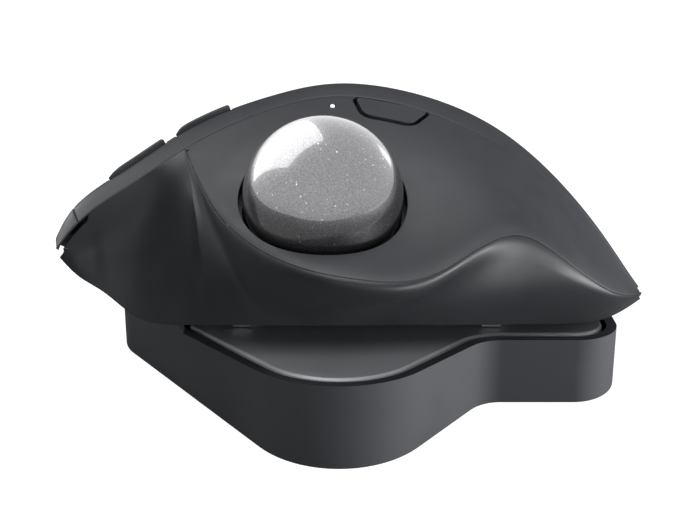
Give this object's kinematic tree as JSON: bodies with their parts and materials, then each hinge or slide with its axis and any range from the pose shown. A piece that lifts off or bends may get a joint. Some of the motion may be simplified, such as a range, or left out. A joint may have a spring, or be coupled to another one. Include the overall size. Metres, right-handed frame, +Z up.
{
  "type": "trackball mouse",
  "caption": "Right-handed thumb trackball mouse with click buttons, tilting scroll wheel and side buttons, hinged on a steel tilt plate that sits in a rubber wedge.",
  "frame": {"origin": "on the desk, at the middle of the wedge's footprint; the wedge's foot pad rests on z = 0", "axes": "+Z up; -X towards the front (click buttons), +X towards the heel; -Y towards the thumb side with the ball, +Y towards the little finger"},
  "size_m": [0.1299, 0.0946, 0.0713],
  "materials": {
    "graphite_shell": "fine matt texture",
    "rubber_grip": "soft-touch matt",
    "wedge_rubber": "matt, pebbled",
    "dark_casing": "satin",
    "ball_lacquer": "clear gloss over fine metallic flakes",
    "plate_steel": "matt dark coat with a bright chamfer",
    "steel": "bright",
    "magnet": "nickel plated",
    "ceramic": "polished ceramic",
    "circuit_board": "solder mask",
    "engineering_plastic": "satin",
    "light_pipe": "clear, lit from behind",
    "battery_foil": "foil"
  },
  "bodies": {
    "base": {"wedge_base": "wedge_rubber", "wedge_pad": "wedge_rubber", "base_plate": "plate_steel", "plate_sole": "wedge_rubber", "front_hinge_bracket": "steel", "rear_hinge_bracket": "steel", "front_hinge_pin": "steel", "rear_hinge_pin": "steel"},
    "housing": {"lower_shell": "dark_casing", "top_cover": "graphite_shell", "thumb_panel": "rubber_grip", "precision_led": "light_pipe", "channel_led_1": "light_pipe", "channel_led_2": "light_pipe", "battery_led": "light_pipe", "ball_cup": "dark_casing", "bearing_1": "ceramic", "bearing_2": "ceramic", "bearing_3": "ceramic", "sensor_lens": "light_pipe", "sensor_board": "circuit_board", "main_board": "circuit_board", "left_switch_board": "circuit_board", "right_switch_board": "circuit_board", "battery": "battery_foil", "charging_port": "steel", "left_switch": "dark_casing", "right_switch": "dark_casing", "forward_switch": "dark_casing", "back_switch": "dark_casing", "precision_switch": "dark_casing", "middle_switch": "dark_casing", "magnet_1": "magnet", "magnet_2": "magnet", "magnet_3": "magnet", "magnet_4": "magnet", "housing_screw_1": "steel", "housing_screw_2": "steel", "housing_screw_3": "steel", "housing_screw_4": "steel", "front_hinge_block": "engineering_plastic", "rear_hinge_block": "engineering_plastic"},
    "left_click": {"left_click_button": "graphite_shell"},
    "right_click": {"right_click_button": "graphite_shell"},
    "forward": {"forward_button": "graphite_shell"},
    "back": {"back_button": "graphite_shell"},
    "precision": {"precision_button": "rubber_grip"},
    "channel": {"channel_button": "graphite_shell"},
    "power": {"power_slider": "engineering_plastic"},
    "wheel_press": {"press_frame": "engineering_plastic"},
    "wheel_tilt": {"wheel_carriage": "engineering_plastic"},
    "wheel": {"scroll_tyre": "rubber_grip", "wheel_hub": "engineering_plastic", "wheel_axle": "steel"},
    "ball": {"trackball": "ball_lacquer"}
  },
  "joints": [
    {"name": "tilt", "type": "hinge", "parent": "base", "child": "housing", "pos_m": [0, -0.0076, 0.01841], "axis": [1, 0, 0], "range_deg": [0, 20]},
    {"name": "left_click_press", "type": "hinge", "parent": "housing", "child": "left_click", "pos_m": [-0.0304, 0.01694, 0.05332], "axis": [0, -0.866, 0.5], "range_deg": [0, 0.9]},
    {"name": "right_click_press", "type": "hinge", "parent": "housing", "child": "right_click", "pos_m": [-0.0308, 0.03415, 0.03472], "axis": [0, -0.866, 0.5], "range_deg": [0, 0.9]},
    {"name": "forward_press", "type": "slide", "parent": "housing", "child": "forward", "axis": [0.5776, -0.3884, -0.718], "range_m": [0, 0.0005]},
    {"name": "back_press", "type": "slide", "parent": "housing", "child": "back", "axis": [0.4589, -0.4186, -0.7837], "range_m": [0, 0.0005]},
    {"name": "precision_press", "type": "slide", "parent": "housing", "child": "precision", "axis": [-0.1292, 0.1682, -0.9773], "range_m": [0, 0.0005]},
    {"name": "channel_press", "type": "slide", "parent": "housing", "child": "channel", "axis": [0.3978, -0.5975, -0.6962], "range_m": [0, 0.0004]},
    {"name": "power_slide", "type": "slide", "parent": "housing", "child": "power", "axis": [1, 0, 0], "range_m": [0, 0.003]},
    {"name": "wheel_press_down", "type": "slide", "parent": "housing", "child": "wheel_press", "axis": [0, -0.5, -0.866], "range_m": [0, 0.0006]},
    {"name": "wheel_tilt_sideways", "type": "hinge", "parent": "wheel_press", "child": "wheel_tilt", "pos_m": [-0.04837, 0.01453, 0.03335], "axis": [1, 0, 0], "range_deg": [-4, 4]},
    {"name": "wheel_spin", "type": "hinge", "parent": "wheel_tilt", "child": "wheel", "pos_m": [-0.04837, 0.01453, 0.03335], "axis": [0, 0.866, -0.5], "continuous": true},
    {"name": "ball_spin", "type": "hinge", "parent": "housing", "child": "ball", "pos_m": [-0.0095, -0.02148, 0.05437], "axis": [0.05, -0.3268, 0.9438], "continuous": true}
  ]
}
